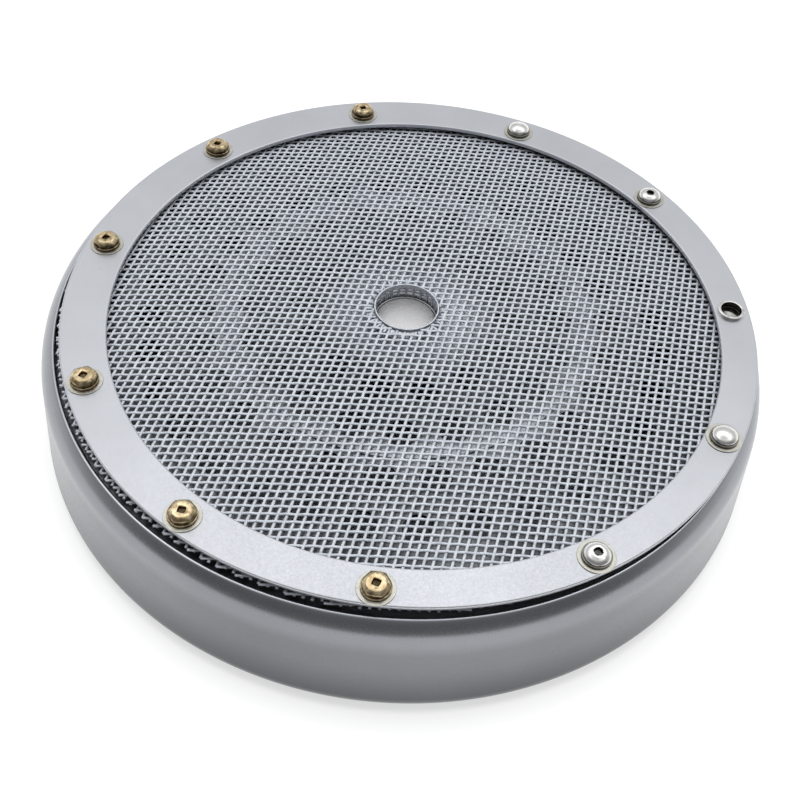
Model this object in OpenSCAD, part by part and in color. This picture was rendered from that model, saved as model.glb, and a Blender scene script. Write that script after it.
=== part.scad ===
// Round flat-face gas burner: a drawn steel pan with a woven wire flame face,
// clamped by a flat ring with eleven screws round its edge, and a tube through the middle.
// Millimetres, Z up, the origin is the middle of the pan's underside.

/* [Pan] */
// Outside radius that the wall of the pan spreads to at its foot
pan_r = 135.5; // [130:0.5:150]
// Height of the pan, from the surface it stands on to the top of its shoulder
pan_h = 47.6; // [44:0.2:70]
// Sheet thickness of the pan
pan_t = 1.5; // [1:0.1:1.6]
// Outside radius of the bend at the foot
foot_bend = 8; // [5:0.5:10]
// Outside radius of the rolled shoulder
shoulder_bend = 11; // [9:0.5:12]
// How far the middle of the floor is raised above the standing surface
floor_lift = 6; // [4:0.5:10]

/* [Clamp ring and screws] */
// Outside radius of the clamp ring
ring_r = 127; // [126:0.5:128]
// Inside radius of the clamp ring
ring_hole_r = 112; // [108:0.5:113]
// Thickness of the clamp ring
ring_t = 1.8; // [1:0.1:3]
// How far the circle of screws stands to one side of the pan's middle
screw_shift = 2.3; // [0:0.1:2.5]
// Radius of the circle that the screws stand on
screw_circle_r = 119.7; // [119:0.1:120]
// Angle of the first place, which has an open cup and no screw
first_angle = 6.4; // [0:0.1:30]

/* [Flame face] */
// Thickness of the rolled mesh, two crossing wires together
mesh_t = 1.7; // [1.2:0.1:2]
// How far the middle of the flame face stands above its edge
crown = 3.3; // [0:0.1:4]
// Radius of the mesh disc
mesh_r = 125.9; // [124:0.1:126]
// Radius of the hole in the middle of the mesh
mesh_hole_r = 11.7; // [11.5:0.1:14]
// How far the wires are turned down round that hole
mesh_turn_down = 6; // [3:0.1:6]
// Diameter of the gas holes in the distributor plate
gas_hole_d = 11; // [4:0.5:12]
// Radial step from one circle of gas holes to the next
gas_hole_step = 18.75; // [15:0.25:19]

/* [Middle tube and inlet] */
// Inside radius of the tube through the middle
tube_r = 11.1; // [8:0.1:11.3]
// Distance of the gas and air inlet from the middle
inlet_offset = 62; // [55:1:66]
// Inside radius of the gas and air inlet
inlet_r = 24; // [15:0.5:26]

/* [Hidden] */
$fn = 96;

// Layers at the edge, from the clamp ring down
ring_gap = 0.2;
ring_z = pan_h + ring_gap;
upper_gasket_t = 1.6;
mesh_top = ring_z - upper_gasket_t;
mesh_z = mesh_top - mesh_t;
turned_t = 1.15;
spacer_t = 1.6;
plate_t = 1.2;
plate_z = mesh_z - spacer_t - plate_t;
lower_gasket_t = 2;
seat_t = 2.5;
seat_z = plate_z - lower_gasket_t - seat_t;
plate_r = 126;
lower_gasket_r = 125;
lower_gasket_hole_r = 111.2;
spacer_r = 124;
spacer_hole_r = 113.5;
upper_gasket_r = 123.2;
upper_gasket_hole_r = 114.3;
seat_hole_r = 109;
seat_skirt_h = 8;

// The pan's bends are drawn in steps. Its wall leans in by one step, a straight slope that touches
// the bend at each end, and the shoulder stops at a rounded lip ten steps up from level.
bend_fn = 64;
bend_step = 360 / bend_fn;
wall_tilt = bend_step;
lip_angle = 10 * bend_step;
foot_x = pan_r - foot_bend;
shoulder_z = pan_h - shoulder_bend;
lean = (shoulder_z - foot_bend) * sin(wall_tilt);
shoulder_x = foot_x + (foot_bend - shoulder_bend - lean) / cos(wall_tilt);
lip_x = shoulder_x + (shoulder_bend - pan_t / 2) * cos(lip_angle);
lip_z = shoulder_z + (shoulder_bend - pan_t / 2) * sin(lip_angle);
seat_rise = seat_z + seat_t - shoulder_z;
seat_r = shoulder_x + sqrt(pow(shoulder_bend - pan_t, 2) - pow(seat_rise, 2));

// Floor of the pan
floor_z = floor_lift + pan_t;
floor_r = 106;
foot_r = 111;

// Screws and what they pass through
nut_flange_r = 4;
nut_flange_t = 0.8;
nut_barrel_r = 3;
nut_barrel_h = 9.5;
thread_r = 2.05;
shank_r = 1.95;
nut_clear_r = 4.3;
clear_r = 2.6;
washer_r = 6.2;
washer_t = 0.4;
collar_r = 4.9;
collar_hole_r = 4;
collar_t = 0.9;
cup_r = 5.2;
cup_hole_r = 4;
cup_body_r = 4.4;
cup_t = 1.3;
cup_floor_t = 0.4;
cup_clear_r = 4.5;
collar_bevel = 0.3;
hex_r = 4.75;
hex_top_r = 3.3;
hex_h = 2.5;
hex_bevel_h = 0.9;
dome_r = 4.5;
dome_h = 2.3;
socket_w = 2.6;
socket_depth = 1.4;
screw_reach = 8;
ring_top = ring_z + ring_t;

// The ring was laid on by eye, so it and its opening stand a little off the pan's middle
ring_place = [2, 1.6, 0];
opening_place = [3.8, 0.1, 0];
// How far each place was drilled from even spacing, in degrees
drilled_off = [-0.8, -0.5, -1.2, -0.8, -1.1, 0.3, 1.3, 1, -0.3, 0.6, 1.5];
open_place = [0];
gold_places = [3, 4, 5, 6, 7, 8];
socket_places = [1, 9];
plain_places = [2, 10];
silver_places = concat(socket_places, plain_places);
screw_places = concat(gold_places, silver_places);

// Distributor plate
plate_hole_r = 15;
gas_first_r = 38;
gas_rows = [14, 20, 26, 32];
bead_r = gas_first_r + 1.5 * gas_hole_step;
bead_w = 3;
bead_h = 0.7;

// Crown of the flame face: level over the hub, then falling to the edge
crown_steps = 16;
crown_edge_r = 112;

// Middle tube
eyelet_t = 0.25;
eyelet_r = 12.3;
eyelet_h = 1.6;
tube_t = 1.2;
tube_top = mesh_top + crown - mesh_turn_down - ring_gap;
tube_z = 1;
tube_flange_r = 20;
hub_r = 24;
hub_t = 2;
retainer_r = 19;
retainer_t = 2;
slip = 0.1;

// Inlet below the raised floor
inlet_flange_r = 40;
inlet_flange_t = 3;
inlet_gasket_t = 1.5;
inlet_bolts = 4;
inlet_bolt_circle_r = 32;
inlet_bolt_r = 2.6;
inlet_nut_r = 4.6;
inlet_nut_h = 4;

// Baffle over the inlet
baffle_r = 92;
baffle_hole_r = 18;
baffle_t = 1.2;
baffle_z = 22;
post_count = 3;
post_circle_r = 84;
post_r = 4;
post_bore_r = 1.7;
baffle_screw_r = 1.6;
baffle_head_r = 3;
baffle_head_h = 2;
post_angle = 30;
eps = 0.5;

// Angle of one place round the ring
function place_angle(k) = first_angle + k * 360 / len(drilled_off) + drilled_off[k];

// Height of the crown at a distance from the middle
function crown_z(r) =
    crown * (1 - pow(min(1, max(0, (r - hub_r) / (crown_edge_r - hub_r))), 2));

// Radii at which the crowned section has a point, from the hub out to the crown's edge
crown_radii = [for (i = [0:crown_steps]) hub_r + i * (crown_edge_r - hub_r) / crown_steps];

// Puts its children at the named screw places
module at_places(places) {
    translate([screw_shift, 0, 0])
        for (k = places)
            rotate([0, 0, place_angle(k)])
                translate([screw_circle_r, 0, 0]) children();
}

// Crowned disc with a round hole, its upper and lower faces the same distance apart all over
module crowned_disc(inner, outer, z, t) {
    low = [for (r = crown_radii) [r, z + crown_z(r)]];
    high = [for (i = [crown_steps:-1:0]) [crown_radii[i], z + t + crown_z(crown_radii[i])]];
    rotate_extrude()
        polygon(concat(
            [[inner, z + crown]], low, [[outer, z], [outer, z + t]],
            high, [[inner, z + t + crown]]
        ));
}

// Half section of a solid cup: bent foot, sloping wall, rolled shoulder, all drawn in by inset
module cup_section(inset) {
    foot = foot_bend - inset;
    shoulder = shoulder_bend - inset;
    out = [cos(wall_tilt), sin(wall_tilt)];
    polygon([
        [0, inset], [foot_x, inset], [foot_x, foot_bend] + foot * out,
        [shoulder_x, shoulder_z] + shoulder * out, [shoulder_x, pan_h - inset], [0, pan_h - inset]
    ]);
    translate([foot_x, foot_bend]) circle(r = foot, $fn = bend_fn);
    translate([shoulder_x, shoulder_z]) circle(r = shoulder, $fn = bend_fn);
}

// Flat ring, from its inside and outside radius
module flat_ring(inner, outer, z, t) {
    rotate_extrude() translate([inner, z]) square([outer - inner, t]);
}

// Vertical hole for a screw, from z upwards
module drill(r, z, h) {
    translate([0, 0, z]) cylinder(r = r, h = h);
}

// Half section of the floor: the foot, the sloped step and the raised middle
module floor_section() {
    polygon([
        [0, floor_lift], [floor_r, floor_lift], [foot_r, 0], [foot_x, 0],
        [foot_x, pan_t], [foot_r + pan_t / 2, pan_t],
        [floor_r + pan_t / 2, floor_z], [0, floor_z]
    ]);
}

// Half section of the pan: its shoulder ends in a rounded lip round the opening
module pan_section() {
    reach = 2 * shoulder_bend;
    difference() {
        cup_section(0);
        cup_section(pan_t);
        translate([0, -eps]) square([foot_x, pan_t + 2 * eps]);
        polygon([
            [0, shoulder_z], [shoulder_x, shoulder_z],
            [shoulder_x, shoulder_z] + reach * [cos(lip_angle), sin(lip_angle)],
            [0, shoulder_z + reach]
        ]);
    }
    floor_section();
    translate([lip_x, lip_z]) circle(r = pan_t / 2, $fn = bend_fn);
}

module inlet_places() {
    translate([0, inlet_offset, 0])
        for (k = [0:inlet_bolts - 1])
            rotate([0, 0, (k + 0.5) * 360 / inlet_bolts])
                translate([inlet_bolt_circle_r, 0, 0]) children();
}

module post_places() {
    for (k = [0:post_count - 1])
        rotate([0, 0, post_angle + k * 360 / post_count])
            translate([post_circle_r, 0, 0]) children();
}

module body_pan() {
    color("#a9acb2")
    difference() {
        rotate_extrude() pan_section();
        drill(tube_r + tube_t + slip, floor_lift - eps, pan_t + 2 * eps);
        translate([0, inlet_offset, 0]) drill(inlet_r, floor_lift - eps, pan_t + 2 * eps);
        inlet_places() drill(inlet_bolt_r, floor_lift - eps, pan_t + 2 * eps);
        post_places() drill(post_bore_r, floor_lift - eps, pan_t + 2 * eps);
    }
}

module seat_ring() {
    color("#8f9297")
    difference() {
        union() {
            flat_ring(seat_hole_r, seat_r, seat_z, seat_t);
            flat_ring(seat_r - seat_t, seat_r, seat_z - seat_skirt_h, seat_skirt_h);
        }
        at_places(screw_places) drill(nut_barrel_r, seat_z - eps, seat_t + 2 * eps);
    }
}

module rivet_nut() {
    difference() {
        union() {
            translate([0, 0, seat_z + seat_t]) cylinder(r = nut_flange_r, h = nut_flange_t);
            translate([0, 0, seat_z + seat_t - nut_barrel_h]) cylinder(r = nut_barrel_r, h = nut_barrel_h);
        }
        drill(thread_r, seat_z - nut_barrel_h, nut_barrel_h + seat_t + 2);
    }
}

module rivet_nuts() {
    color("#b9bcc0") at_places(screw_places) rivet_nut();
}

module lower_gasket() {
    color("#d8d4c8")
    difference() {
        translate([screw_shift, 0, 0])
            flat_ring(lower_gasket_hole_r, lower_gasket_r, seat_z + seat_t, lower_gasket_t);
        at_places(screw_places)
            drill(nut_clear_r, seat_z + seat_t - eps, lower_gasket_t + 2 * eps);
    }
}

module distributor_plate() {
    color("#b4b8be")
    difference() {
        union() {
            crowned_disc(plate_hole_r, plate_r, plate_z, plate_t);
            flat_ring(bead_r - bead_w / 2, bead_r + bead_w / 2, plate_z + crown_z(bead_r),
                      plate_t + bead_h);
        }
        for (i = [0:len(gas_rows) - 1])
            for (k = [0:gas_rows[i] - 1])
                rotate([0, 0, k * 360 / gas_rows[i] + i * 2])
                    translate([gas_first_r + i * gas_hole_step, 0, 0])
                        drill(gas_hole_d / 2, plate_z - eps, plate_t + crown + 2 * eps);
        at_places(screw_places) drill(clear_r, plate_z - eps, plate_t + 2 * eps);
    }
}

module spacer_ring() {
    color("#9a9da2")
    difference() {
        translate([screw_shift, 0, 0])
            flat_ring(spacer_hole_r, spacer_r, plate_z + plate_t, spacer_t);
        at_places(screw_places) drill(clear_r, plate_z + plate_t - eps, spacer_t + 2 * eps);
    }
}

module flame_mesh() {
    color("#9ea3aa")
    difference() {
        union() {
            crowned_disc(mesh_hole_r, mesh_r, mesh_z, mesh_t);
            flat_ring(mesh_hole_r, mesh_hole_r + turned_t, mesh_top + crown - mesh_turn_down,
                      mesh_turn_down);
        }
        at_places(screw_places) drill(clear_r, mesh_z - eps, mesh_t + 2 * eps);
    }
}

// Thin rolled rim that binds the cut wires round the middle hole
module mesh_eyelet() {
    color("#d0d2d6") {
        flat_ring(mesh_hole_r - eyelet_t, mesh_hole_r, mesh_top + crown - eyelet_h, eyelet_h);
        flat_ring(mesh_hole_r - eyelet_t, eyelet_r, mesh_top + crown, eyelet_t);
    }
}

module upper_gasket() {
    color("#26272a")
    difference() {
        translate([screw_shift, 0, 0])
            flat_ring(upper_gasket_hole_r, upper_gasket_r, mesh_top, upper_gasket_t);
        at_places(screw_places) drill(clear_r, mesh_top - eps, upper_gasket_t + 2 * eps);
    }
}

module clamp_ring() {
    color("#c3c6cc")
    difference() {
        translate(ring_place) drill(ring_r, ring_z, ring_t);
        translate(opening_place) drill(ring_hole_r, ring_z - eps, ring_t + 2 * eps);
        at_places(screw_places) drill(clear_r, ring_z - eps, ring_t + 2 * eps);
        at_places(open_place) drill(cup_clear_r, ring_z - eps, ring_t + 2 * eps);
    }
}

module thin_washers() {
    color("#cfc8a6")
    at_places(screw_places) flat_ring(shank_r + slip, washer_r, ring_top, washer_t);
}

// Plain shank from the underside of the head at z down into the nut
module screw_shank(z) {
    drill(shank_r, seat_z + seat_t - screw_reach, z - seat_z - seat_t + screw_reach);
}

// Raised collar with a bevelled edge
module collar(z) {
    rotate_extrude()
        polygon([
            [collar_hole_r, z], [collar_r, z], [collar_r, z + collar_t - collar_bevel],
            [collar_r - collar_bevel, z + collar_t], [collar_hole_r, z + collar_t]
        ]);
}

// Small open cup let into the ring: a raised rim, a wall and a closed floor
module cup(z) {
    low = ring_z + slip;
    rotate_extrude()
        polygon([
            [0, low], [cup_body_r, low], [cup_body_r, z], [cup_r, z],
            [cup_r, z + cup_t - collar_bevel], [cup_r - collar_bevel, z + cup_t],
            [cup_hole_r, z + cup_t], [cup_hole_r, low + cup_floor_t], [0, low + cup_floor_t]
        ]);
}

module gold_collars() {
    color("#b79a5e") at_places(gold_places) collar(ring_top + washer_t);
}

module silver_collars() {
    color("#c9c8c2") {
        at_places(silver_places) collar(ring_top + washer_t);
        at_places(open_place) cup(ring_top);
    }
}

// Six-sided head with a turned top and a square socket
module gold_screw() {
    head_z = ring_top + washer_t + collar_t;
    difference() {
        intersection() {
            translate([0, 0, head_z]) cylinder(r = hex_r, h = hex_h, $fn = 6);
            rotate_extrude() polygon([
                [0, head_z], [hex_r, head_z], [hex_r, head_z + hex_h - hex_bevel_h],
                [hex_top_r, head_z + hex_h], [0, head_z + hex_h]
            ]);
        }
        translate([0, 0, head_z + hex_h])
            cube([socket_w, socket_w, 2 * socket_depth], center = true);
    }
    screw_shank(head_z);
}

module gold_screws() {
    color("#c49a4c") at_places(gold_places) gold_screw();
}

// Domed head: a slice of a ball whose rim is the head's radius
module silver_dome(z) {
    ball_r = (dome_r * dome_r + dome_h * dome_h) / (2 * dome_h);
    intersection() {
        translate([0, 0, z + dome_h - ball_r]) sphere(r = ball_r);
        drill(dome_r + 1, z, dome_h + 1);
    }
}

module silver_screws() {
    head_z = ring_top + washer_t + collar_t;
    color("#d2d3d4") {
        at_places(silver_places) screw_shank(head_z);
        at_places(plain_places) silver_dome(head_z);
        at_places(socket_places)
            difference() {
                silver_dome(head_z);
                translate([0, 0, head_z + dome_h])
                    cube([socket_w, socket_w, 2 * socket_depth], center = true);
            }
    }
}

module centre_tube() {
    color("#d4d6d9") {
        flat_ring(tube_r, tube_r + tube_t, tube_z, tube_top - tube_z);
        flat_ring(tube_r + tube_t, tube_flange_r, floor_z, tube_t);
    }
}

module hub_ring() {
    color("#c0c3c7") flat_ring(tube_r + tube_t, hub_r, plate_z + crown - hub_t, hub_t);
}

module tube_retainer() {
    color("#9a9da2") flat_ring(tube_r + tube_t, retainer_r, floor_lift - retainer_t, retainer_t);
}

module inlet_flange() {
    color("#8c8f94")
    difference() {
        translate([0, inlet_offset, 0])
            flat_ring(inlet_r, inlet_flange_r, floor_lift - inlet_flange_t, inlet_flange_t);
        inlet_places() drill(inlet_bolt_r, 0, floor_lift + eps);
    }
}

module inlet_gasket() {
    gasket_z = floor_lift - inlet_flange_t - inlet_gasket_t;
    color("#3a3b3d")
    difference() {
        translate([0, inlet_offset, 0])
            flat_ring(inlet_r + 1, inlet_flange_r, gasket_z, inlet_gasket_t);
        inlet_places() drill(inlet_bolt_r, 0, floor_lift + eps);
    }
}

module inlet_nuts() {
    color("#b9bcc0")
    inlet_places()
        difference() {
            translate([0, 0, floor_z]) cylinder(r = inlet_nut_r, h = inlet_nut_h, $fn = 6);
            drill(inlet_bolt_r, floor_z - eps, inlet_nut_h + 2 * eps);
        }
}

module baffle_plate() {
    color("#8f9297")
    difference() {
        flat_ring(baffle_hole_r, baffle_r, baffle_z, baffle_t);
        post_places() drill(post_bore_r, baffle_z - eps, baffle_t + 2 * eps);
    }
}

module baffle_posts() {
    color("#a4a7ab")
    post_places()
        difference() {
            translate([0, 0, floor_z]) cylinder(r = post_r, h = baffle_z - floor_z);
            drill(post_bore_r, floor_z - eps, baffle_z);
        }
}

module baffle_screws() {
    color("#b9bcc0")
    post_places() {
        translate([0, 0, baffle_z + baffle_t]) cylinder(r = baffle_head_r, h = baffle_head_h);
        translate([0, 0, floor_z]) cylinder(r = baffle_screw_r, h = baffle_z + baffle_t - floor_z);
    }
}

body_pan();
seat_ring();
rivet_nuts();
lower_gasket();
distributor_plate();
spacer_ring();
flame_mesh();
mesh_eyelet();
upper_gasket();
clamp_ring();
thin_washers();
gold_collars();
silver_collars();
gold_screws();
silver_screws();
centre_tube();
hub_ring();
tube_retainer();
inlet_flange();
inlet_gasket();
inlet_nuts();
baffle_plate();
baffle_posts();
baffle_screws();
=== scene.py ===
import math

import bpy
import numpy as np
from mathutils import Matrix


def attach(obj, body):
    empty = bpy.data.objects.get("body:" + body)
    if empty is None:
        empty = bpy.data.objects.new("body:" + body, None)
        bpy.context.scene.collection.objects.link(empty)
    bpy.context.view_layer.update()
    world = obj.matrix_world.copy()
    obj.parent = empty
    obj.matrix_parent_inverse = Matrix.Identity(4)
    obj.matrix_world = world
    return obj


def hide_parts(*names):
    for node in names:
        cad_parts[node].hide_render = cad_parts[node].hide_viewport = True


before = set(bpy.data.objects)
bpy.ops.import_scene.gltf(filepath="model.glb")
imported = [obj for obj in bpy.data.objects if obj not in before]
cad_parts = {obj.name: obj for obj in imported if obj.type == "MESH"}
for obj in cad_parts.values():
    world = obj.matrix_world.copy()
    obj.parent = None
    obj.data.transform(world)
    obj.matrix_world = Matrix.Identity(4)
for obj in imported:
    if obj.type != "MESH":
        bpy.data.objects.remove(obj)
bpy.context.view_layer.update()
mm = 0.001
print("burner frame loaded:", len(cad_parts), "nodes")


# Grids and meshes

def gridFaces(rows, columns, wrapRows, wrapColumns):
    # Four corners per face: each grid point with its next neighbours, going round where it wraps
    row = np.arange(rows if wrapRows else rows - 1)[:, None]
    column = np.arange(columns if wrapColumns else columns - 1)[None, :]
    nextRow, nextColumn = (row + 1) % rows, (column + 1) % columns
    corners = [row * columns + column, nextRow * columns + column,
               nextRow * columns + nextColumn, row * columns + nextColumn]
    return np.stack([c + 0 * row + 0 * column for c in corners], -1).reshape(-1, 4)


def arc(centreX, centreY, radius, start, end, count):
    # Points on a circle from one angle to another, in degrees
    angle = np.radians(np.linspace(start, end, count))
    return np.stack([centreX + radius * np.cos(angle), centreY + radius * np.sin(angle)], -1)


def signedVolume(points, faceArrays):
    # Sum of the little pyramids from the origin to each face: negative if the faces look inwards
    total = 0.0
    for faces in faceArrays:
        first = points[faces[:, 0]]
        for k in range(1, faces.shape[1] - 1):
            side = np.cross(points[faces[:, k]], points[faces[:, k + 1]])
            total += float((first * side).sum())
    return total


def buildPiece(name, points, faceArrays, material, slotName, replaced=(), sharp=35, shadeAndStain=None):
    # Puts whole arrays of points and faces into one mesh that rides on the burner. The last argument, where
    # given, is one number per point from 0, clean, to 1, dark. It marks painted shade in sockets, round the
    # feet of heads and collars and in the open cup's hole, and the finish turns middling values into patchy
    # dark stains.
    faceArrays = [f for f in faceArrays if len(f)]
    if signedVolume(points, faceArrays) < 0:
        faceArrays = [f[:, ::-1] for f in faceArrays]
    corners = np.concatenate([f.ravel() for f in faceArrays]).astype(np.int32)
    sizes = np.concatenate([np.full(len(f), f.shape[1]) for f in faceArrays])
    starts = (np.cumsum(sizes) - sizes).astype(np.int32)
    mesh = bpy.data.meshes.new(name)
    mesh.vertices.add(len(points))
    mesh.vertices.foreach_set("co", points.astype(np.float32).ravel())
    mesh.loops.add(len(corners))
    mesh.loops.foreach_set("vertex_index", corners)
    mesh.polygons.add(len(sizes))
    mesh.polygons.foreach_set("loop_start", starts)
    mesh.polygons.foreach_set("use_smooth", np.ones(len(sizes), bool))
    mesh.update(calc_edges=True)
    if shadeAndStain is not None:
        layer = mesh.attributes.new("shadeAndStain", "FLOAT", "POINT")
        layer.data.foreach_set("value", shadeAndStain.astype(np.float32))
    mesh.validate()
    if sharp:
        mesh.set_sharp_from_angle(angle=math.radians(sharp))
    mesh.materials.append(material)
    piece = bpy.data.objects.new(name, mesh)
    bpy.context.scene.collection.objects.link(piece)
    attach(piece, "root")
    if replaced:
        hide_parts(*replaced)
    return piece


def revolve(profile, steps):
    # Grid point (i, j) is profile point j turned about the upright axis by i equal steps
    turn = np.linspace(0, 2 * math.pi, steps, endpoint=False)[:, None]
    radius, height = profile[:, 0][None, :], profile[:, 1][None, :]
    points = np.stack([radius * np.cos(turn), radius * np.sin(turn), height + 0 * turn], -1)
    return points.reshape(-1, 3), [gridFaces(steps, len(profile), True, True)]


def ringStack(rings):
    # Outline k joined to outline k + 1 all the way round, with one face over each end
    levels, steps = rings.shape[:2]
    ends = np.stack([np.arange(steps)[::-1], (levels - 1) * steps + np.arange(steps)])
    return rings.reshape(-1, 3), [gridFaces(levels, steps, False, True), ends]


def joinMeshes(parts):
    # Several point and face sets as one, each set's face numbers moved up past the ones before
    points, faces, start = [], [], 0
    for partPoints, partFaces in parts:
        points.append(partPoints)
        faces += [f + start for f in partFaces]
        start += len(partPoints)
    return np.concatenate(points), faces


def roundedBar(inner, outer, low, high, edge, steps=4):
    # Section of a flat ring with rounded edges and a support point close to each bend
    near = edge * 1.6
    return np.concatenate([
        [[inner + near, low], [outer - near, low]],
        arc(outer - edge, low + edge, edge, -90, 0, steps),
        arc(outer - edge, high - edge, edge, 0, 90, steps),
        [[outer - near, high], [inner + near, high]],
        arc(inner + edge, high - edge, edge, 90, 180, steps),
        arc(inner + edge, low + edge, edge, 180, 270, steps),
    ])


# Finishes

def newMaterial(name):
    # An empty finish with its one shader, ready for nodes
    material = bpy.data.materials.new(name)
    material.use_nodes = True
    nodes, links = material.node_tree.nodes, material.node_tree.links
    return material, nodes, links, nodes["Principled BSDF"]


def noiseNode(nodes, links, coords, scale, detail, rough=0.5, stretch=(1, 1, 1)):
    # Noise in the piece's own metres, squeezed along an axis where stretch is above 1
    place = nodes.new("ShaderNodeMapping")
    place.inputs["Scale"].default_value = stretch
    links.new(coords.outputs["Object"], place.inputs["Vector"])
    noise = nodes.new("ShaderNodeTexNoise")
    noise.inputs["Scale"].default_value = scale
    noise.inputs["Detail"].default_value = detail
    noise.inputs["Roughness"].default_value = rough
    links.new(place.outputs["Vector"], noise.inputs["Vector"])
    return noise.outputs["Fac"]


def rampNode(nodes, links, source, stops):
    # Colour ramp through (position, colour) stops
    ramp = nodes.new("ShaderNodeValToRGB")
    while len(ramp.color_ramp.elements) < len(stops):
        ramp.color_ramp.elements.new(0.5)
    for element, (position, colour) in zip(ramp.color_ramp.elements, stops):
        element.position, element.color = position, (*colour, 1)
    links.new(source, ramp.inputs["Fac"])
    return ramp.outputs["Color"]


def rangeNode(nodes, links, source, low, high, fromLow=0.3, fromHigh=0.7):
    # Straight map of one range on to another
    mapped = nodes.new("ShaderNodeMapRange")
    mapped.inputs["From Min"].default_value = fromLow
    mapped.inputs["From Max"].default_value = fromHigh
    mapped.inputs["To Min"].default_value = low
    mapped.inputs["To Max"].default_value = high
    links.new(source, mapped.inputs["Value"])
    return mapped.outputs["Result"]


def mixColours(nodes, links, amount, first, second):
    # First colour times (1 - amount) plus second colour times amount
    mix = nodes.new("ShaderNodeMix")
    mix.data_type, mix.blend_type = "RGBA", "MIX"
    links.new(amount, mix.inputs["Factor"])
    for socket, value in ((mix.inputs[6], first), (mix.inputs[7], second)):
        if isinstance(value, tuple):
            socket.default_value = (*value, 1)
        else:
            links.new(value, socket)
    return mix.outputs[2]


def mathNode(nodes, links, operation, source, second, third=None):
    # One sum on the source: with MULTIPLY_ADD, source times second plus third
    node = nodes.new("ShaderNodeMath")
    node.operation = operation
    links.new(source, node.inputs[0])
    node.inputs[1].default_value = second
    if third is not None:
        links.new(third, node.inputs[2])
    return node.outputs["Value"]


def multiplyColours(nodes, links, first, second):
    # Each channel of one colour times the same channel of the other
    mix = nodes.new("ShaderNodeMix")
    mix.data_type, mix.blend_type = "RGBA", "MULTIPLY"
    mix.inputs["Factor"].default_value = 1.0
    links.new(first, mix.inputs[6])
    links.new(second, mix.inputs[7])
    return mix.outputs[2]


def bumpNode(nodes, links, height, strength, distance):
    # Tips the surface by the slope of a height pattern, distance metres from its lowest to its highest
    bump = nodes.new("ShaderNodeBump")
    bump.inputs["Strength"].default_value = strength
    bump.inputs["Distance"].default_value = distance
    links.new(height, bump.inputs["Height"])
    return bump.outputs["Normal"]


def shadedBy(nodes, links, colour, distance, stops):
    # Painted light and shade: colour times a factor that follows a distance in metres through (distance,
    # factor) stops
    reach = stops[-1][0]
    share = rangeNode(nodes, links, distance, 0, 1, 0, reach)
    shade = rampNode(nodes, links, share, [(at / reach, (factor, factor, factor)) for at, factor in stops])
    return multiplyColours(nodes, links, colour, shade)


def satinSteel(name, look):
    # Metal with cloudy colour, uneven roughness, fine rolled grain and a few dark specks.
    # Where a piece carries per-point darkening, painted shade gathers there with patchy dark stains round it,
    # and some looks also paint light and shade by distance from the middle or by height.
    material, nodes, links, shader = newMaterial(name)
    coords = nodes.new("ShaderNodeTexCoord")
    clouds = noiseNode(nodes, links, coords, look["cloudScale"], 4, 0.6)
    grain = noiseNode(nodes, links, coords, look["grainScale"], 3, 0.6, look["grainStretch"])
    specks = noiseNode(nodes, links, coords, look["speckScale"], 2, 0.4)
    colour = rampNode(nodes, links, clouds, [(0.3, look["dark"]), (0.7, look["light"])])
    speckMask = rangeNode(nodes, links, specks, 0, look["speckDepth"], look["speckFrom"], 0.86)
    colour = mixColours(nodes, links, speckMask, colour, look["speck"])
    # Painted shade and stains: the per-point darkening from the mesh, made patchy by the specks
    if "shadeAndStain" in look:
        shadeAndStain = nodes.new("ShaderNodeAttribute")
        shadeAndStain.attribute_name = "shadeAndStain"
        patchy = mathNode(nodes, links, "MULTIPLY_ADD", specks, look["patchy"], shadeAndStain.outputs["Fac"])
        middle = 0.5 * look["patchy"] + 0.5
        amount = rangeNode(nodes, links, patchy, 0, 0.95, middle - 0.4, middle + 0.4)
        colour = mixColours(nodes, links, amount, colour, look["shadeAndStain"])
    # Painted light and shade by distance from the middle of the burner's foot
    if "zones" in look:
        far = nodes.new("ShaderNodeVectorMath")
        far.operation = "LENGTH"
        links.new(coords.outputs["Object"], far.inputs[0])
        colour = shadedBy(nodes, links, colour, far.outputs["Value"], look["zones"])
    # Painted light and shade by height
    if "levels" in look:
        axes = nodes.new("ShaderNodeSeparateXYZ")
        links.new(coords.outputs["Object"], axes.inputs["Vector"])
        colour = shadedBy(nodes, links, colour, axes.outputs["Z"], look["levels"])
    links.new(colour, shader.inputs["Base Color"])
    roughness = rangeNode(nodes, links, grain, look["smooth"], look["rough"])
    links.new(roughness, shader.inputs["Roughness"])
    links.new(bumpNode(nodes, links, grain, look["bump"], 0.0001), shader.inputs["Normal"])
    shader.inputs["Metallic"].default_value = look.get("metal", 1.0)
    return material


panLook = {"dark": (0.285, 0.292, 0.315), "light": (0.335, 0.342, 0.365), "speck": (0.12, 0.12, 0.13),
           "cloudScale": 14, "grainScale": 900, "grainStretch": (1, 1, 1), "speckScale": 160,
           "speckDepth": 0.5, "speckFrom": 0.78, "smooth": 0.22, "rough": 0.28, "bump": 0.004,
           # levels: painted shade, darkest at the foot and lightening up the wall, and a painted highlight on
           # the lip from 46.1 mm up
           "levels": [(0.0, 0.29), (0.009, 0.35), (0.016, 0.47), (0.024, 0.60), (0.033, 0.64), (0.039, 0.86),
                      (0.0457, 0.95), (0.0461, 2.9), (0.05, 2.9)]}
ringLook = {"dark": (0.54, 0.55, 0.58), "light": (0.60, 0.61, 0.645), "speck": (0.35, 0.35, 0.37),
            "cloudScale": 22, "grainScale": 1400, "grainStretch": (1, 1, 1), "speckScale": 220,
            "speckDepth": 0.5, "speckFrom": 0.74, "smooth": 0.32, "rough": 0.44, "bump": 0.12}
innerLook = {"dark": (0.20, 0.20, 0.21), "light": (0.32, 0.32, 0.34), "speck": (0.06, 0.055, 0.05),
             "cloudScale": 30, "grainScale": 700, "grainStretch": (1, 1, 1), "speckScale": 120,
             "speckDepth": 0.6, "speckFrom": 0.66, "smooth": 0.38, "rough": 0.55, "bump": 0.15}
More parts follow.
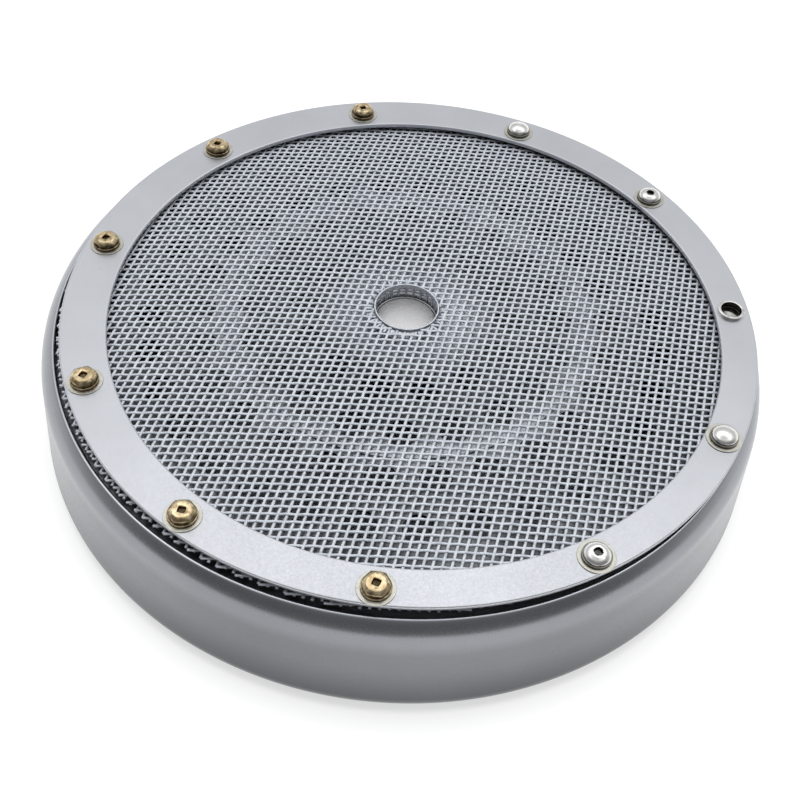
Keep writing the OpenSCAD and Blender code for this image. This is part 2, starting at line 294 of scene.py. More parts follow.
plateLook = {"dark": (0.20, 0.21, 0.23), "light": (0.78, 0.80, 0.84), "speck": (0.10, 0.10, 0.10),
             "cloudScale": 26, "grainScale": 500, "grainStretch": (1, 1, 1), "speckScale": 90,
             "speckDepth": 0.6, "speckFrom": 0.6, "smooth": 0.28, "rough": 0.45, "bump": 0.2,
             # zones: painted light and shade by distance from the middle of the burner's foot: bright over
             # the hub, a painted bright band at 77-82 mm, painted shade between and beyond
             "zones": [(0.0, 1.3), (0.050, 1.3), (0.056, 0.34), (0.071, 0.26),
                       (0.077, 0.85), (0.082, 0.85), (0.090, 0.25), (0.13, 0.30)]}
wireLook = {"dark": (0.38, 0.405, 0.45), "light": (0.64, 0.67, 0.72), "speck": (0.18, 0.19, 0.21),
            "cloudScale": 420, "grainScale": 1500, "grainStretch": (1, 1, 1), "speckScale": 420,
            "speckDepth": 0.6, "speckFrom": 0.62, "smooth": 0.36, "rough": 0.55, "bump": 0.3, "metal": 0.4}
zincLook = {"dark": (0.42, 0.43, 0.44), "light": (0.56, 0.57, 0.58), "speck": (0.2, 0.2, 0.2),
            "cloudScale": 180, "grainScale": 900, "grainStretch": (1, 1, 1), "speckScale": 260,
            "speckDepth": 0.4, "speckFrom": 0.7, "smooth": 0.3, "rough": 0.42, "bump": 0.1}
tubeLook = {"dark": (0.86, 0.86, 0.87), "light": (0.93, 0.93, 0.94), "speck": (0.6, 0.6, 0.6),
            "cloudScale": 60, "grainScale": 600, "grainStretch": (1, 1, 0.1), "speckScale": 200,
            "speckDepth": 0.2, "speckFrom": 0.75, "smooth": 0.14, "rough": 0.24, "bump": 0.03,
            # levels: painted light and shade by height, the inside of the tube painted brighter low down and
            # darker towards its top
            "levels": [(0.0, 1.15), (0.016, 1.15), (0.027, 0.92), (0.036, 0.70), (0.042, 0.46), (0.05, 0.25)]}
goldLook = {"dark": (0.38, 0.27, 0.14), "light": (0.92, 0.76, 0.50), "speck": (0.035, 0.022, 0.010),
            "cloudScale": 420, "grainScale": 1800, "grainStretch": (1, 1, 1), "speckScale": 620,
            "speckDepth": 0.9, "speckFrom": 0.54, "smooth": 0.12, "rough": 0.26, "bump": 0.35,
            # Dark colour for the painted shade in sockets and at the feet of heads and collars, and for
            # patchy stains
            "shadeAndStain": (0.035, 0.022, 0.010), "patchy": 0.9}
brightLook = {"dark": (0.70, 0.69, 0.66), "light": (0.88, 0.88, 0.87), "speck": (0.3, 0.28, 0.22),
              "cloudScale": 400, "grainScale": 1500, "grainStretch": (1, 1, 1), "speckScale": 500,
              "speckDepth": 0.4, "speckFrom": 0.7, "smooth": 0.04, "rough": 0.12, "bump": 0.2,
              # Dark colour for the painted shade in sockets, at the feet of heads and in the open cup's hole,
              # and for patchy stains
              "shadeAndStain": (0.04, 0.036, 0.028), "patchy": 1.2}
washerLook = {"dark": (0.50, 0.48, 0.41), "light": (0.62, 0.61, 0.56), "speck": (0.34, 0.29, 0.18),
              "cloudScale": 260, "grainScale": 1500, "grainStretch": (1, 1, 1), "speckScale": 420,
              "speckDepth": 0.6, "speckFrom": 0.6, "smooth": 0.3, "rough": 0.42, "bump": 0.1,
              # Dark colour for the painted shade at the feet of the silver collars, and for patchy stains
              "shadeAndStain": (0.05, 0.045, 0.03), "patchy": 0.5}

panSteel = satinSteel("panSteel", panLook)
ringSteel = satinSteel("ringSteel", ringLook)
innerSteel = satinSteel("innerSteel", innerLook)
plateSteel = satinSteel("plateSteel", plateLook)
wireSteel = satinSteel("wireSteel", wireLook)
zincPlate = satinSteel("zincPlate", zincLook)
tubeSteel = satinSteel("tubeSteel", tubeLook)
goldPlate = satinSteel("goldPlate", goldLook)
brightPlate = satinSteel("brightPlate", brightLook)
washerSteel = satinSteel("washerSteel", washerLook)


def fibreBoard(name, dark, light, scale):
    # Matt pressed fibre: speckled colour and a soft uneven surface
    material, nodes, links, shader = newMaterial(name)
    coords = nodes.new("ShaderNodeTexCoord")
    fibres = noiseNode(nodes, links, coords, scale, 5, 0.7, (1, 1, 3))
    links.new(rampNode(nodes, links, fibres, [(0.3, dark), (0.7, light)]), shader.inputs["Base Color"])
    links.new(rangeNode(nodes, links, fibres, 0.75, 0.95), shader.inputs["Roughness"])
    links.new(bumpNode(nodes, links, fibres, 0.5, 0.0002), shader.inputs["Normal"])
    return material


paleFibre = fibreBoard("paleFibre", (0.52, 0.49, 0.42), (0.72, 0.70, 0.64), 420)
# Near-black fibre for the gaskets. On the upper gasket the near-black also stands in for the shadow in the
# gap under the clamp ring, as painted shade.
gasketBlackAndShade = fibreBoard("gasketBlackAndShade", (0.010, 0.010, 0.011), (0.028, 0.028, 0.030), 500)
print("finishes made")


# Pan

pan = {
    "radius": 135.49 * mm, "height": 47.6 * mm, "sheet": 1.5 * mm, "footBend": 8 * mm,
    "shoulderBend": 11 * mm, "wallTilt": 5.625, "lipAngle": 56.25,      # degrees up from level
    "floorLift": 6 * mm, "floorRadius": 106 * mm, "footRadius": 111 * mm, "seam": 104 * mm,
    "inletOffset": 62 * mm, "inletRadius": 24 * mm, "tubeHole": 12.4 * mm, "split": 30 * mm,
}


def panProfile(p):
    # Section of the drawn sheet: raised floor edge, foot bend, sloping wall, shoulder bend and rounded
    # lip, then back down the inside. The wall is the straight line that touches both bends, so the
    # shoulder's centre stands in from the foot's by what the two bends and the lean leave over.
    t, lift, foot, shoulder = p["sheet"], p["floorLift"], p["footBend"], p["shoulderBend"]
    tilt, lip = p["wallTilt"], p["lipAngle"]
    footX, shoulderZ = p["radius"] - foot, p["height"] - shoulder
    lean = (shoulderZ - foot) * math.sin(math.radians(tilt))
    shoulderX = footX + (foot - shoulder - lean) / math.cos(math.radians(tilt))
    lipX = shoulderX + (shoulder - t / 2) * math.cos(math.radians(lip))
    lipZ = shoulderZ + (shoulder - t / 2) * math.sin(math.radians(lip))
    up = np.linspace(0, 1, 9)[1:-1, None]
    footEnd = arc(footX, foot, foot, tilt, tilt, 1)
    wall = footEnd + up * (arc(shoulderX, shoulderZ, shoulder, tilt, tilt, 1) - footEnd)
    return np.concatenate([
        [[p["seam"], lift], [p["floorRadius"], lift], [p["footRadius"], 0], [p["footRadius"] + t, 0]],
        arc(footX, foot, foot, -90, tilt, 20), wall,
        arc(shoulderX, shoulderZ, shoulder, tilt, lip, 24),
        arc(lipX, lipZ, t / 2, lip, lip + 180, 8)[1:-1],
        arc(shoulderX, shoulderZ, shoulder - t, lip, tilt, 12),
        arc(footX, foot, foot - t, tilt, -90, 10),
        [[p["footRadius"] + t / 2, t], [p["floorRadius"] + t / 2, lift + t], [p["seam"], lift + t]],
    ])


def floorSheet(p, centreY, holeRadius, steps=256):
    # Sheet between a round hole and the edge of its half of the floor: points run straight out
    # from the hole's middle to the floor's rim or to the split line, whichever comes first
    angle = np.linspace(0, 2 * math.pi, steps, endpoint=False)
    ux, uy = np.cos(angle), np.sin(angle)
    reach = -centreY * uy + np.sqrt(p["seam"] ** 2 - (centreY * ux) ** 2)
    toSplit = p["split"] - centreY
    along = np.where(np.abs(uy) > 1e-6, toSplit / np.where(np.abs(uy) > 1e-6, uy, 1), 1e9)
    reach = np.where(along > 0, np.minimum(reach, along), reach)
    share = np.array([0, 0.02, 0.3, 0.65, 1.0])[:, None]
    out = holeRadius + share * (reach - holeRadius)
    low, high = p["floorLift"], p["floorLift"] + p["sheet"]
    levels = [np.stack([out * ux, centreY + out * uy, np.full_like(out, z)], -1) for z in (high, low)]
    rings = np.concatenate([levels[0], levels[1][::-1]])
    return rings.reshape(-1, 3), [gridFaces(len(rings), steps, True, True)]


panMesh = joinMeshes([
    revolve(panProfile(pan), 512),
    floorSheet(pan, 0.0, pan["tubeHole"]),
    floorSheet(pan, pan["inletOffset"], pan["inletRadius"]),
])
buildPiece("pan", *panMesh, panSteel, "pan_steel", ("body_pan",))
print("pan made")


# Clamp ring

clampRing = {"outer": 127 * mm, "opening": 112 * mm, "low": 47.8 * mm, "high": 49.6 * mm, "edge": 0.45 * mm,
             "place": (2.0 * mm, 1.6 * mm), "openingPlace": (3.8 * mm, 0.1 * mm),
             "screwShift": 2.3 * mm, "screwCircle": 119.7 * mm, "holeRadius": 2.6 * mm,
             "cupHole": 4.5 * mm, "firstAngle": 6.4}
drilledOff = np.array([-0.8, -0.5, -1.2, -0.8, -1.1, 0.3, 1.3, 1.0, -0.3, 0.6, 1.5])
places = len(drilledOff)
screwAngles = np.radians(clampRing["firstAngle"] + np.arange(places) * 360 / places + drilledOff)
screwSpots = np.stack([clampRing["screwShift"] + clampRing["screwCircle"] * np.cos(screwAngles),
                       clampRing["screwCircle"] * np.sin(screwAngles)], -1)


def ringShape(ring, steps=512):
    # Rounded flat section whose inner points turn about the opening's middle and whose outer
    # points turn about the ring's own middle, which stands a little to one side of it
    profile = roundedBar(ring["opening"], ring["outer"], ring["low"], ring["high"], ring["edge"])
    turn = np.linspace(0, 2 * math.pi, steps, endpoint=False)[:, None]
    radius, height = profile[:, 0][None, :], profile[:, 1][None, :]
    share = np.clip((radius - ring["opening"]) / (ring["outer"] - ring["opening"]), 0, 1)
    (x0, y0), (x1, y1) = ring["openingPlace"], ring["place"]
    x = x0 + share * (x1 - x0) + radius * np.cos(turn)
    y = y0 + share * (y1 - y0) + radius * np.sin(turn)
    points = np.stack([x, y, height + 0 * turn], -1).reshape(-1, 3)
    return points, [gridFaces(steps, len(profile), True, True)]


def screwHoleCutter(ring, spots, steps=40):
    # One upright round bar at each screw of the ring, and a wider one where the open cup sits
    angle = np.linspace(0, 2 * math.pi, steps, endpoint=False)
    bars = []
    for place, (spotX, spotY) in enumerate(spots):
        radius = ring["holeRadius"] if place else ring["cupHole"]
        x = spotX + radius * np.cos(angle)
        y = spotY + radius * np.sin(angle)
        levels = [np.stack([x, y, np.full(steps, z)], -1)
                  for z in (ring["low"] - mm, ring["high"] + mm)]
        bars.append(ringStack(np.stack(levels)))
    return joinMeshes(bars)


def cutAway(piece, points, faceArrays):
    # Takes the closed shape out of the piece and keeps the result as its mesh
    mesh = bpy.data.meshes.new("cutter")
    mesh.from_pydata(points.tolist(), [], [f for faces in faceArrays for f in faces.tolist()])
    cutter = bpy.data.objects.new("cutter", mesh)
    bpy.context.scene.collection.objects.link(cutter)
    cut = piece.modifiers.new("holes", "BOOLEAN")
    cut.operation, cut.solver, cut.object = "DIFFERENCE", "EXACT", cutter
    bpy.context.view_layer.update()
    result = bpy.data.meshes.new_from_object(piece.evaluated_get(bpy.context.evaluated_depsgraph_get()))
    piece.modifiers.clear()
    piece.data = result
    piece.data.set_sharp_from_angle(angle=math.radians(35))
    bpy.data.objects.remove(cutter)


ringPiece = buildPiece("clampRing", *ringShape(clampRing), ringSteel, "ring_steel", ("clamp_ring",))
cutAway(ringPiece, *screwHoleCutter(clampRing, screwSpots))
print("clamp ring made")


# Woven wire mesh

cloth = {"width": 1.15 * mm, "height": 0.85 * mm, "wave": 0.13 * mm,
         "weftPitch": 2.96 * mm, "warpPitch": 2.89 * mm,
         "weftAngle": 2.7, "warpAngle": 77.8, "bow": 0.08,
         "radius": 125.7 * mm, "place": (-0.7 * mm, 0.7 * mm), "hole": 12.2 * mm,
         "top": 46.2 * mm, "crown": 3.3 * mm, "crownIn": 24 * mm, "crownOut": 112 * mm,
         "segments": 4, "sides": 6, "turnDown": 5.9 * mm, "collarRadius": 12.3 * mm,
         "shankClear": 2.7 * mm, "warpDrop": 0.1 * mm,
         "turnBend": 1.2 * mm, "turnRun": 3 * mm, "turnWidth": 0.42, "hoopDrop": 3.6 * mm}


def crownHeight(c, x, y):
    # Level over the hub, then falling as a parabola to the clamped edge
    share = np.clip((np.hypot(x, y) - c["crownIn"]) / (c["crownOut"] - c["crownIn"]), 0, 1)
    return c["crown"] * (1 - share ** 2)


def tubesAlong(centres, keep, halfWidth, halfHeight, sides):
    # Flattened wires along rows of centre points: an oval of corners square to the run at every point.
    # Only the runs where keep is true are built, and each run's two ends are closed.
    along = np.gradient(centres, axis=1)
    along /= np.linalg.norm(along, axis=2, keepdims=True)
    side = np.cross(along, np.array([0.0, 0.0, 1.0]))
    side /= np.linalg.norm(side, axis=2, keepdims=True)
    up = np.cross(side, along)
    angle = np.linspace(0, 2 * math.pi, sides, endpoint=False)
    across, upward = halfWidth * np.cos(angle)[:, None], halfHeight * np.sin(angle)[:, None]
    points = centres[:, :, None] + side[:, :, None] * across + up[:, :, None] * upward
    wires, samples = keep.shape
    index = np.arange(wires * samples * sides).reshape(wires, samples, sides)
    both = keep[:, :-1] & keep[:, 1:]
    now, ahead = index[:, :-1][both], index[:, 1:][both]
    quads = np.stack([now, np.roll(now, -1, 1), np.roll(ahead, -1, 1), ahead], -1).reshape(-1, 4)
    before = np.pad(both, ((0, 0), (1, 0)))
    after = np.pad(both, ((0, 0), (0, 1)))
    firstCaps = index[after & ~before][:, ::-1]
    lastCaps = index[before & ~after]
    used = np.zeros(points[..., 0].size, bool)
    used[quads.ravel()] = True
    renumber = np.cumsum(used) - 1
    faces = [renumber[quads], renumber[firstCaps], renumber[lastCaps]]
    return points.reshape(-1, 3)[used], faces


def wovenWires(c, warp):
    # Centre lines of one set of wires. Crossing (i, j) lies i steps along the weft direction and
    # j along the warp direction, and each wire rises and falls a little between crossings.
    ownAngle = math.radians(c["warpAngle"] if warp else c["weftAngle"])
    crossAngle = math.radians(c["weftAngle"] if warp else c["warpAngle"])
    ownStep = c["warpPitch"] if warp else c["weftPitch"]
    own = np.array([math.cos(ownAngle), math.sin(ownAngle)])
    cross = np.array([math.cos(crossAngle), math.sin(crossAngle)])
    spacing = c["weftPitch"] if warp else c["warpPitch"]
    count = int(c["radius"] * 1.12 / min(ownStep, spacing)) + 1
    wire = np.arange(-count, count + 1)[:, None]
    run = np.arange(-count * c["segments"], count * c["segments"] + 1)[None, :] / c["segments"]
    x = wire * spacing * cross[0] + run * ownStep * own[0]
    y = wire * spacing * cross[1] + run * ownStep * own[1]
    y = y - c["bow"] * x ** 2                        # the rows are bowed a little, as loose cloth is
    wave = c["wave"] * np.cos(math.pi * (run + wire)) * (1 if warp else -1)
    level = c["top"] - c["height"] / 2 - c["wave"] - (c["warpDrop"] if warp else 0)
    z = level + crownHeight(c, x, y) + wave
    return np.stack([x, y, z], -1)


def buildCloth(c):
    # Keeps the centre lines inside the cloth's edge and clear of the middle hole and the screws,
    # and makes each set of wires in a front half and a back half
    for name, warp in (("Warp", True), ("Weft", False)):
        centres = wovenWires(c, warp)
        far = np.hypot(centres[..., 0], centres[..., 1])
        fromMiddle = np.hypot(centres[..., 0] - c["place"][0], centres[..., 1] - c["place"][1])
        inside = (fromMiddle < c["radius"]) & (far > c["hole"])
        for spotX, spotY in screwSpots[1:]:
            inside &= np.hypot(centres[..., 0] - spotX, centres[..., 1] - spotY) > c["shankClear"]
        wires, samples = inside.shape
        for half in ("Front", "Back"):
            front = half == "Front"
            part = np.zeros_like(inside)
            if warp:                                     # halves of every wire, sharing one point
                part[:, slice(None, samples // 2 + 1) if front else slice(samples // 2, None)] = True
            else:                                        # every wire of the front or the back rows
                part[slice(None, wires // 2) if front else slice(wires // 2, None)] = True
            keep = inside & part
            points, faces = tubesAlong(centres, keep, c["width"] / 2, c["height"] / 2, c["sides"])
            print("flame mesh", name, half, 2 * len(faces[0]), "triangles")
            buildPiece("flameMesh" + name + half, points, faces, wireSteel, "mesh_wire",
                       ("flame_mesh",), sharp=0)


buildCloth(cloth)


def turnedWires(c, count=27, samples=9):
    # Cut wires turned down round the middle hole: a quarter bend, then straight down
    angle = np.linspace(0, 2 * math.pi, count, endpoint=False)[:, None]
    bend, top = c["turnBend"], c["top"] + c["crown"]
    radius, low = c["collarRadius"], top - c["turnDown"]
    path = np.concatenate([[[radius + c["turnRun"], top - c["height"]]],
                           arc(radius + bend, top - c["height"] - bend, bend, 90, 180, samples - 3),
                           [[radius, (low + top) / 2 - mm], [radius, low]]])
    far, height = path[:, 0][None], path[:, 1][None]
    return np.stack([far * np.cos(angle), far * np.sin(angle), height + 0 * angle], -1)


def hoopWire(radius, height, wireRadius, steps=96, sides=8):
    # A plain round wire bent into a level hoop
    section = arc(radius, height, wireRadius, 0, 360, sides + 1)[:-1]
    return revolve(section, steps)


def buildCollar(c):
    # A circle of corners square to each turned wire at every point, and one hoop that binds them
    centres = turnedWires(c)
    along = np.gradient(centres, axis=1)
    along /= np.linalg.norm(along, axis=2, keepdims=True)
    angle = np.linspace(0, 2 * math.pi, len(centres), endpoint=False)
    side = np.stack([-np.sin(angle), np.cos(angle), 0 * angle], -1)[:, None] + 0 * along
    up = np.cross(side, along)
    ring = np.linspace(0, 2 * math.pi, 8, endpoint=False)
    circle = side[:, :, None] * np.cos(ring)[:, None] + up[:, :, None] * np.sin(ring)[:, None]
    points = centres[:, :, None] + c["turnWidth"] * c["width"] * circle
    wires = [ringStack(p) for p in points]
    hoop = hoopWire(c["collarRadius"] + 0.1 * mm, c["top"] + c["crown"] - c["hoopDrop"],
                    c["turnWidth"] * c["width"])
    buildPiece("meshCollar", *joinMeshes(wires + [hoop]), wireSteel, "mesh_wire", ("flame_mesh",), sharp=50)


buildCollar(cloth)
print("flame mesh made")


# Middle tube and eyelet

middle = {"tubeInner": 11.1 * mm, "tubeOuter": 12.3 * mm, "tubeLow": 1 * mm, "tubeHigh": 43.3 * mm,
          "eyeletInner": 11.45 * mm, "eyeletHole": 11.7 * mm, "eyeletOuter": 12.0 * mm,
          "eyeletLow": 47.9 * mm, "eyeletHigh": 49.75 * mm,
          "flangeLow": 7.5 * mm, "flangeHigh": 8.7 * mm, "flangeOuter": 20 * mm}


def tubeProfile(m):
    # Wall of the tube with a rounded top edge, and the flange that rests on the floor
    flangeLow, flangeHigh, flangeOuter = m["flangeLow"], m["flangeHigh"], m["flangeOuter"]
    half = (m["tubeOuter"] - m["tubeInner"]) / 2
    return np.concatenate([
        [[m["tubeInner"], m["tubeLow"]], [m["tubeOuter"], m["tubeLow"]], [m["tubeOuter"], flangeLow],
         [flangeOuter, flangeLow], [flangeOuter, flangeHigh], [m["tubeOuter"], flangeHigh]],
        arc(m["tubeInner"] + half, m["tubeHigh"] - half, half, 0, 180, 9),
        np.stack([np.full(5, m["tubeInner"]), np.linspace(32, 9, 5) * mm], -1),
    ])


def eyeletProfile(m):
    # Thin sheet rolled over the cut wires: a short wall with a rounded lip
    t = m["eyeletHole"] - m["eyeletInner"]
    high = m["eyeletHigh"]
    return np.concatenate([
        [[m["eyeletInner"], m["eyeletLow"]], [m["eyeletHole"], m["eyeletLow"]],
         [m["eyeletHole"], high - t], [m["eyeletOuter"], high - t]],
        arc(m["eyeletOuter"] - t / 2, high - t / 2, t / 2, 0, 90, 4),
        arc(m["eyeletInner"] + t, high - t, t, 90, 180, 6),
    ])


buildPiece("centreTube", *revolve(tubeProfile(middle), 160), tubeSteel, "tube_steel", ("centre_tube",))
buildPiece("meshEyelet", *revolve(eyeletProfile(middle), 128), wireSteel, "tube_steel", ("mesh_eyelet",))
print("middle tube made")


# Screws, collars and washers

fastener = {"seat": 49.6 * mm, "washerRadius": 6.2 * mm, "washerThick": 0.4 * mm, "collarRadius": 4.9 * mm,
            "collarHole": 4.0 * mm, "collarHigh": 0.9 * mm, "hexRadius": 4.75 * mm,
            "hexTop": 3.3 * mm, "hexHigh": 2.42 * mm, "domeRadius": 4.5 * mm, "domeHigh": 2.3 * mm,
            "socket": 1.3 * mm, "socketDepth": 1.3 * mm, "shank": 1.95 * mm, "shankLow": 31.7 * mm,
            # How high the painted shade round the foot of each gold and silver head reaches
            "goldFootShade": 1.9 * mm, "silverFootShade": 0.7 * mm, "leanSpread": 0.015, "seed": 7}
cup = {"radius": 5.0 * mm, "hole": 3.8 * mm, "body": 4.4 * mm, "rise": 1.3 * mm, "low": 47.9 * mm,
       "floor": 0.4 * mm, "edge": 0.35 * mm}
goldPlaces, socketPlaces, plainPlaces = [3, 4, 5, 6, 7, 8], [1, 9], [2, 10]
silverPlaces = socketPlaces + plainPlaces


def outline(radius, sides, roundness, steps, turn=0.0):
    # Radius of a rounded polygon at each angle: between the flat-sided outline and the circle round it
    angle = np.linspace(0, 2 * math.pi, steps, endpoint=False)
    if sides == 0:
        return np.full(steps, radius)
    wedge = math.pi / sides
    flat = np.cos(wedge) / np.cos((angle - turn) % (2 * wedge) - wedge)
    return radius * (roundness + (1 - roundness) * flat)


def stackOutlines(radii, heights, steps):
    # Outline k at its own height
    angle = np.linspace(0, 2 * math.pi, steps, endpoint=False)
    return np.stack([np.stack([r * np.cos(angle), r * np.sin(angle), np.full(steps, z)], -1)
                     for r, z in zip(radii, heights)])


def headShape(f, gold, socket, turn, steps=72):
    # From the shank's end up the outside of the head, over its top, down into the socket
    base = f["seat"] + f["washerThick"] + f["collarHigh"]

    def circle(radius):
        return outline(radius, 0, 1, steps)

    def square(radius, soft):
        return outline(radius, 4, soft, steps, turn)

    radii = [circle(0.2 * mm), circle(f["shank"]), circle(f["shank"])]
    heights = [f["shankLow"], f["shankLow"] + 0.3 * mm, base]
    if gold:
        top, tall = f["hexTop"], f["hexHigh"]
        for scale, share in ((0.96, 0.0), (0.985, 0.06), (0.985, 0.58), (0.95, 0.68)):
            radii.append(outline(f["hexRadius"] * scale, 6, 0.35, steps, turn))
            heights.append(base + share * tall)
        for radius, share in ((top * 1.10, 0.86), (top * 1.03, 0.93), (top * 0.97, 0.985), (top * 0.88, 1.0)):
            radii.append(circle(radius))
            heights.append(base + share * tall)
    else:
        tall = f["domeHigh"]
        for lift in np.radians([0, 6, 14, 24, 35, 46, 57, 68, 79]):
            radii.append(circle(f["domeRadius"] * math.cos(lift)))
            heights.append(base + 0.2 * mm + (tall - 0.2 * mm) * math.sin(lift))
        if not socket:
            radii.append(circle(0.1 * mm))
            heights.append(base + tall)
            return stackOutlines(radii, heights, steps)
        radii, heights = radii[:-2], heights[:-2]
        tall = heights[-1] - base
    for scale, soft, drop in ((1.3, 0.6, 0.0), (1.12, 0.3, 0.03), (1.0, 0.2, 0.2),
                              (0.95, 0.2, 1.0), (0.5, 0.5, 1.12), (0.1, 1.0, 1.15)):
        radii.append(square(f["socket"] * scale * 1.2, soft))
        heights.append(base + tall - drop * f["socketDepth"])
    return stackOutlines(radii, heights, steps)


def placed(rings, place, tilt=0.0):
    # Leans a shape a little, then stands it at its place round the ring
    points = rings.reshape(-1, 3).copy()
    lift = fastener["seat"]
    points[:, 2] -= lift
    c, s = math.cos(tilt), math.sin(tilt)
    x, z = points[:, 0] * c + points[:, 2] * s, -points[:, 0] * s + points[:, 2] * c
    turn = screwAngles[place]
    points = np.stack([x * math.cos(turn) - points[:, 1] * math.sin(turn),
                       x * math.sin(turn) + points[:, 1] * math.cos(turn), z + lift], -1)
    points[:, :2] += screwSpots[place]
    return points.reshape(rings.shape)


def ringAtPlaces(profile, places, steps=64):
    # The same small ring stood at each of the named places
    points, faces = revolve(profile, steps)
    return joinMeshes([(placed(points, k), faces) for k in places])


def headShade(f, points, spots, rise):
    # Painted shade: dark in the socket and round the foot of the head up to the named rise, clean over the
    # top
    near = np.hypot(points[:, None, 0] - spots[None, :, 0], points[:, None, 1] - spots[None, :, 1]).min(1)
    base = f["seat"] + f["washerThick"] + f["collarHigh"]
    height = points[:, 2] - base
    foot = np.clip(1.35 - height / rise, 0, 1) * (near > 2 * mm)
    crest = base + f["domeHigh"] - 0.35 * mm
    socket = (near < 1.15 * f["socket"]) & (points[:, 2] < crest) & (height > 0)
    return np.clip(0.95 * foot + 1.0 * socket, 0, 1)


def cupProfile(c, seat):
    # Closed floor, wall and raised rounded rim, then down the inside to the floor again
    top, e = seat + c["rise"], c["edge"]
    return np.concatenate([
        [[0.05 * mm, c["low"]], [c["body"], c["low"]], [c["body"], seat], [c["radius"], seat]],
        arc(c["radius"] - e, top - e, e, 0, 90, 5), arc(c["hole"] + e, top - e, e, 90, 180, 5),
        [[c["hole"], c["low"] + c["floor"] + 0.2 * mm], [c["hole"] - 0.2 * mm, c["low"] + c["floor"]],
         [0.05 * mm, c["low"] + c["floor"]]],
    ])


def buildFasteners(f):
    # Washers, collars and heads at their places. Each head is turned and leaned by a seeded draw.
    rng = np.random.default_rng(f["seed"])
    washer = roundedBar(f["shank"] + 0.1 * mm, f["washerRadius"], f["seat"], f["seat"] + f["washerThick"],
                        0.12 * mm, 3)
    low = f["seat"] + f["washerThick"]
    collar = roundedBar(f["collarHole"], f["collarRadius"], low, low + f["collarHigh"], 0.25 * mm)
    buildPiece("thinWashers", *ringAtPlaces(washer, goldPlaces + silverPlaces), washerSteel,
               "pale_washer", ("thin_washers",))
    for name, places, material, slotName, node in (
            ("goldCollars", goldPlaces, goldPlate, "gold_plate", "gold_collars"),
            ("silverCollars", silverPlaces, washerSteel, "bright_plate", "silver_collars")):
        points, faces = ringAtPlaces(collar, places)
        # Painted shade on the lower part of each collar where it meets the washer, and patchy stains over the
        # rest
        shadeAndStain = np.where(points[:, 2] < low + 0.6 * f["collarHigh"], 1.0, 0.55)
        buildPiece(name, points, faces, material, slotName, (node,), shadeAndStain=shadeAndStain)
    points, faces = ringAtPlaces(cupProfile(cup, f["seat"]), [0])
    # Painted shade on the wall inside the cup's hole
    reach = np.hypot(points[:, 0] - screwSpots[0, 0], points[:, 1] - screwSpots[0, 1])
    inside = (reach < cup["hole"] + 0.1 * mm) & (reach > 0.9 * cup["hole"])
    buildPiece("openCup", points, faces, brightPlate, "bright_plate", ("silver_collars",),
               shadeAndStain=np.where(inside, 1.0, 0.15))
    for name, gold, places, material, slotName, node in (
            ("goldScrews", True, goldPlaces, goldPlate, "gold_plate", "gold_screws"),
            ("silverScrews", False, silverPlaces, brightPlate, "bright_plate", "silver_screws")):
        heads = []
        for place in places:
            turn, tilt = rng.uniform(0, math.pi / 2), rng.normal(0, f["leanSpread"])
            shape = headShape(f, gold, gold or place in socketPlaces, turn)
            heads.append(ringStack(placed(shape, place, tilt)))
        points, faces = joinMeshes(heads)
        # Painted shade in the sockets and round the feet of the heads
        buildPiece(name, points, faces, material, slotName, (node,), sharp=40,
                   shadeAndStain=headShade(f, points, screwSpots[places], f["goldFootShade" if gold else "silverFootShade"]))


buildFasteners(fastener)
print("fasteners made")


# Carried-over parts

nodeFinish = {
    "seat_ring": innerSteel, "rivet_nuts": zincPlate, "lower_gasket": paleFibre,
    # The upper gasket's near-black is partly painted shadow under the clamp ring, and the distributor plate
    # and hub ring carry painted light and shade by distance
    "distributor_plate": plateSteel, "spacer_ring": innerSteel, "upper_gasket": gasketBlackAndShade,
    "hub_ring": plateSteel, "tube_retainer": innerSteel, "inlet_flange": innerSteel,
    "inlet_gasket": gasketBlackAndShade, "inlet_nuts": zincPlate, "baffle_plate": innerSteel,
    "baffle_posts": zincPlate, "baffle_screws": zincPlate,
}
for node, material in nodeFinish.items():
    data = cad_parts[node].data
    data.materials.clear()
    data.materials.append(material)


# Floor, light and camera

studio = {
    "floor": (0.42, 0.422, 0.425), "floorGlow": 0.60, "floorDrop": 0.2 * mm, "tint": (0.985, 0.995, 1.0),
    # Brightness of the surroundings by height (0 level, 1 straight up), behind and in front of the burner
    "behind": [(0.0, 1.2), (0.25, 1.0), (0.45, 0.66), (0.57, 0.64), (0.75, 0.95), (0.86, 2.2),
               (0.92, 1.6), (1.0, 0.7)],
    "before": [(0.0, 0.35), (0.3, 0.25), (0.6, 0.23), (0.8, 0.34), (0.92, 0.6), (1.0, 0.75)],
    "brightest": 2.2,
    "lampPlace": (0.0, 0.1, 1.6), "lampAim": (0, 0, 0.04), "lampSize": (0.9, 0.9), "lampPower": 20,
}


def buildFloor(s, size=6.0):
    # A plain level sheet, just clear of the burner's foot
    half, low = size / 2, -s["floorDrop"]
    mesh = bpy.data.meshes.new("floor")
    mesh.from_pydata([(-half, -half, low), (half, -half, low), (half, half, low), (-half, half, low)], [],
                     [(0, 1, 2, 3)])
    material, _, _, shader = newMaterial("paleFloor")
    shader.inputs["Base Color"].default_value = (*s["floor"], 1)
    shader.inputs["Roughness"].default_value = 0.8
    shader.inputs["Emission Color"].default_value = (1, 1, 1, 1)
    shader.inputs["Emission Strength"].default_value = s["floorGlow"]
    mesh.materials.append(material)
    floor = bpy.data.objects.new("floor", mesh)
    bpy.context.scene.collection.objects.link(floor)


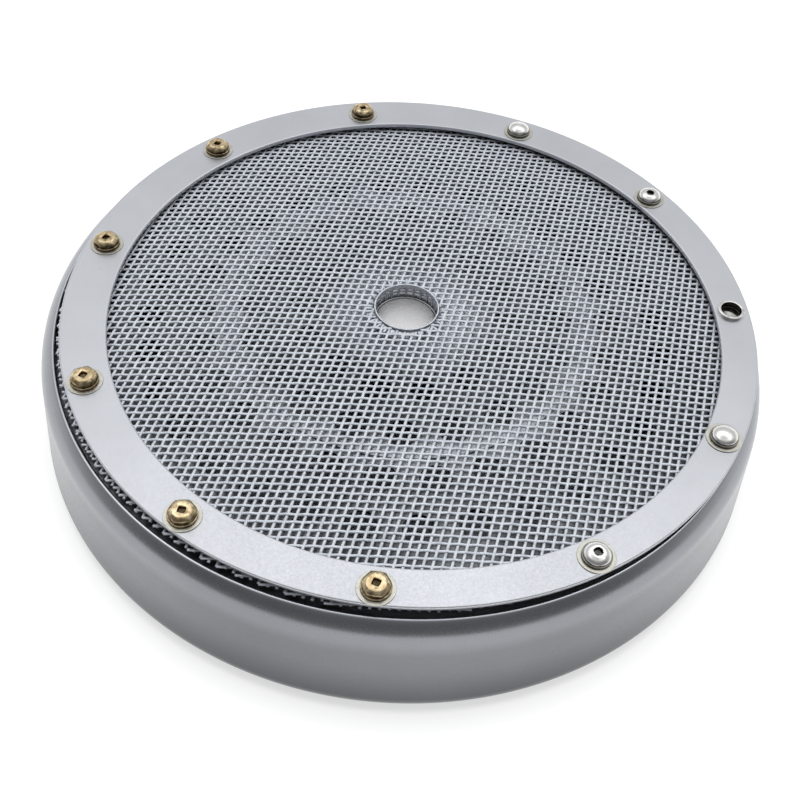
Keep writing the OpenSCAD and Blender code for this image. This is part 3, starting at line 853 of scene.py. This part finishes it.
def areaLight(name, place, aim, size, power):
    # A soft rectangular lamp turned to face the aim point. It doesn't show in the metal.
    light = bpy.data.lights.new(name, "AREA")
    light.shape, light.size, light.size_y = "RECTANGLE", size[0], size[1]
    light.energy = power
    lamp = bpy.data.objects.new(name, light)
    lamp.location = place
    lamp.visible_glossy = False
    away = np.array(place) - np.array(aim)
    level = math.hypot(away[0], away[1])
    lamp.rotation_euler = (math.atan2(level, away[2]), 0, math.atan2(away[0], -away[1]))
    bpy.context.scene.collection.objects.link(lamp)


def buildWorld(s):
    # A soft grey room: brightness follows height through two ramps, one for the back half of the
    # room and one for the front half, blended across the middle
    world = bpy.data.worlds.new("studio")
    world.use_nodes = True
    nodes, links = world.node_tree.nodes, world.node_tree.links
    coords, parts = nodes.new("ShaderNodeTexCoord"), nodes.new("ShaderNodeSeparateXYZ")
    links.new(coords.outputs["Generated"], parts.inputs["Vector"])
    ramps = []
    for side in ("behind", "before"):
        stops = [(height, tuple(level / s["brightest"] * t for t in s["tint"]))
                 for height, level in s[side]]
        ramps.append(rampNode(nodes, links, parts.outputs["Z"], stops))
    turn = rangeNode(nodes, links, parts.outputs["Y"], 0, 1, -0.4, 0.3)
    colour = mixColours(nodes, links, turn, ramps[1], ramps[0])
    background = nodes["Background"]
    links.new(colour, background.inputs["Color"])
    background.inputs["Strength"].default_value = s["brightest"]
    bpy.context.scene.world = world


camera = {"lens": 49.5, "tilt": 49.62, "roll": 4.79, "place": (0.0004, -0.2892, 0.3363)}


def buildCamera(c):
    # Tipped down from the horizon about X, then rolled about its own line of sight
    data = bpy.data.cameras.new("camera")
    data.lens, data.sensor_width = c["lens"], 36
    data.clip_start, data.clip_end = 0.01, 20
    cam = bpy.data.objects.new("camera", data)
    tip = Matrix.Rotation(math.radians(90 - c["tilt"]), 4, "X")
    roll = Matrix.Rotation(math.radians(c["roll"]), 4, "Z")
    cam.matrix_world = Matrix.Translation(c["place"]) @ tip @ roll
    bpy.context.scene.collection.objects.link(cam)
    bpy.context.scene.camera = cam


buildFloor(studio)
buildWorld(studio)
areaLight("overhead", studio["lampPlace"], studio["lampAim"], studio["lampSize"], studio["lampPower"])
buildCamera(camera)
bpy.context.scene.view_settings.view_transform = "Standard"
print("stage made")
